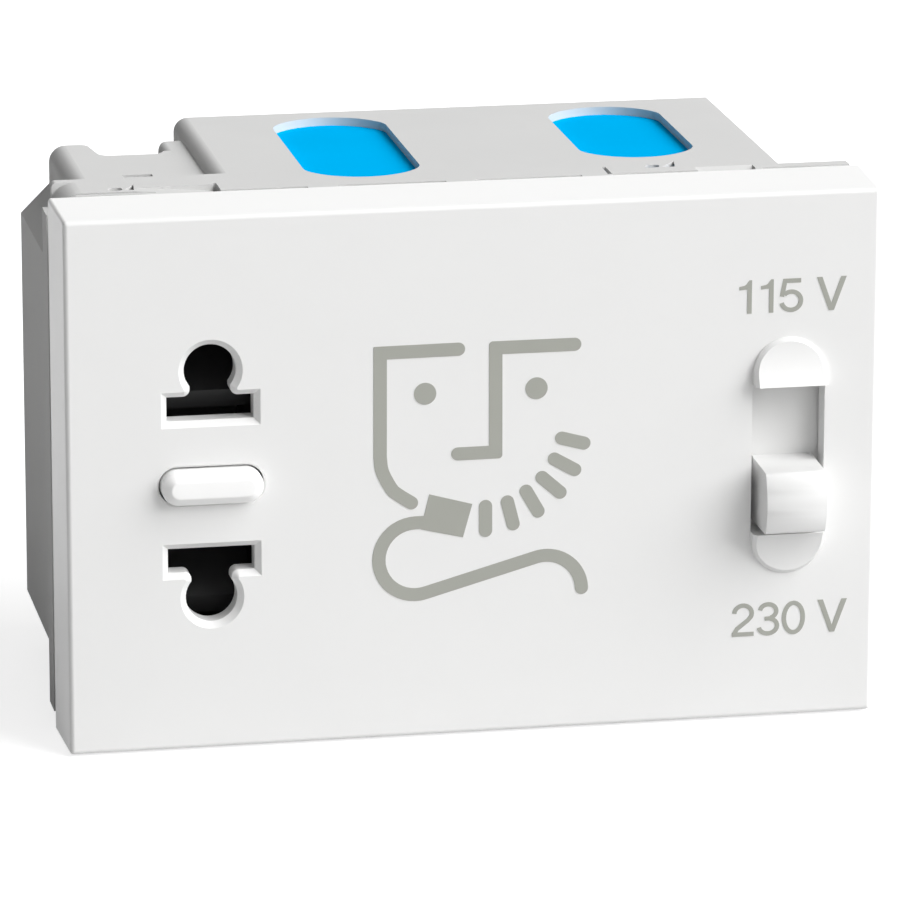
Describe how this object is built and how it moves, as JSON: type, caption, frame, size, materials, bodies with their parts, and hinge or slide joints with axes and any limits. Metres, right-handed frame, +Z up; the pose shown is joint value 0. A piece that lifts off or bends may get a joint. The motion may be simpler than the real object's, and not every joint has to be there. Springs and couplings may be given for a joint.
{
  "type": "shaver socket",
  "caption": "Isolated shaver socket for a modular support frame: keyholes for round pins or flat blades, shutter, plug button, voltage selector and deep transformer housing.",
  "frame": {"origin": "centre of the plane in which the front cover's rim meets the support frame", "axes": "+X to the right along the cover's length, +Z up, the front looks towards -Y"},
  "size_m": [0.0676, 0.0413, 0.045],
  "materials": {
    "front_cover": "satin moulded, white",
    "neck_frame": "matt moulded, light grey",
    "housing": "fine matt moulded, light grey",
    "socket_carrier": "matt moulded, black",
    "upper_contact": "pressed sheet, bright",
    "lower_contact": "pressed sheet, bright",
    "switch_case": "matt moulded, black",
    "switch_terminals": "tinned",
    "switch_plunger": "satin moulded, white",
    "circuit_board": "lacquered laminate",
    "selector_contacts": "pressed sheet, bright",
    "thermal_cutout": "matt moulded, grey",
    "core_i_stack": "stacked sheet, lacquered",
    "core_e_stack": "stacked sheet, lacquered",
    "bobbin": "moulded, cream",
    "primary_winding": "enamelled wire",
    "secondary_winding": "enamelled wire",
    "bobbin_pins": "tinned",
    "insulation_wrap": "smooth film, blue",
    "terminal_block": "matt moulded, grey",
    "line_clamp": "pressed sheet, bright",
    "neutral_clamp": "pressed sheet, bright",
    "terminal_screws": "zinc plated",
    "supply_leads": "insulated wire",
    "plug_actuator": "satin moulded, white",
    "shutter": "smooth, black",
    "selector_slider": "satin moulded, white",
    "selector_bridge": "pressed sheet, bright",
    "actuator_spring": "drawn wire",
    "shutter_spring": "drawn wire"
  },
  "bodies": {
    "base": {"front_cover": "front_cover", "neck_frame": "neck_frame", "housing": "housing", "socket_carrier": "socket_carrier", "upper_contact": "upper_contact", "lower_contact": "lower_contact", "switch_case": "switch_case", "switch_terminals": "switch_terminals", "circuit_board": "circuit_board", "selector_contacts": "selector_contacts", "thermal_cutout": "thermal_cutout", "core_i_stack": "core_i_stack", "core_e_stack": "core_e_stack", "bobbin": "bobbin", "primary_winding": "primary_winding", "secondary_winding": "secondary_winding", "bobbin_pins": "bobbin_pins", "insulation_wrap": "insulation_wrap", "terminal_block": "terminal_block", "line_clamp": "line_clamp", "neutral_clamp": "neutral_clamp", "terminal_screws": "terminal_screws", "supply_leads": "supply_leads", "actuator_spring": "actuator_spring", "shutter_spring": "shutter_spring"},
    "actuator": {"plug_actuator": "plug_actuator", "switch_plunger": "switch_plunger"},
    "shutter": {"shutter": "shutter"},
    "selector": {"selector_slider": "selector_slider", "selector_bridge": "selector_bridge"}
  },
  "joints": [
    {"name": "actuator_press", "type": "slide", "parent": "base", "child": "actuator", "axis": [0, 1, 0], "range_m": [0, 0.002], "stiffness_N_per_m": 400, "springref_m": -0.0015, "deforming": ["actuator_spring"]},
    {"name": "selector_slide", "type": "slide", "parent": "base", "child": "selector", "axis": [0, 0, 1], "range_m": [0, 0.0061]},
    {"name": "shutter_slide", "type": "slide", "parent": "base", "child": "shutter", "axis": [0, 0, -1], "range_m": [0, 0.0066], "stiffness_N_per_m": 60, "springref_m": -0.002, "deforming": ["shutter_spring"]}
  ]
}
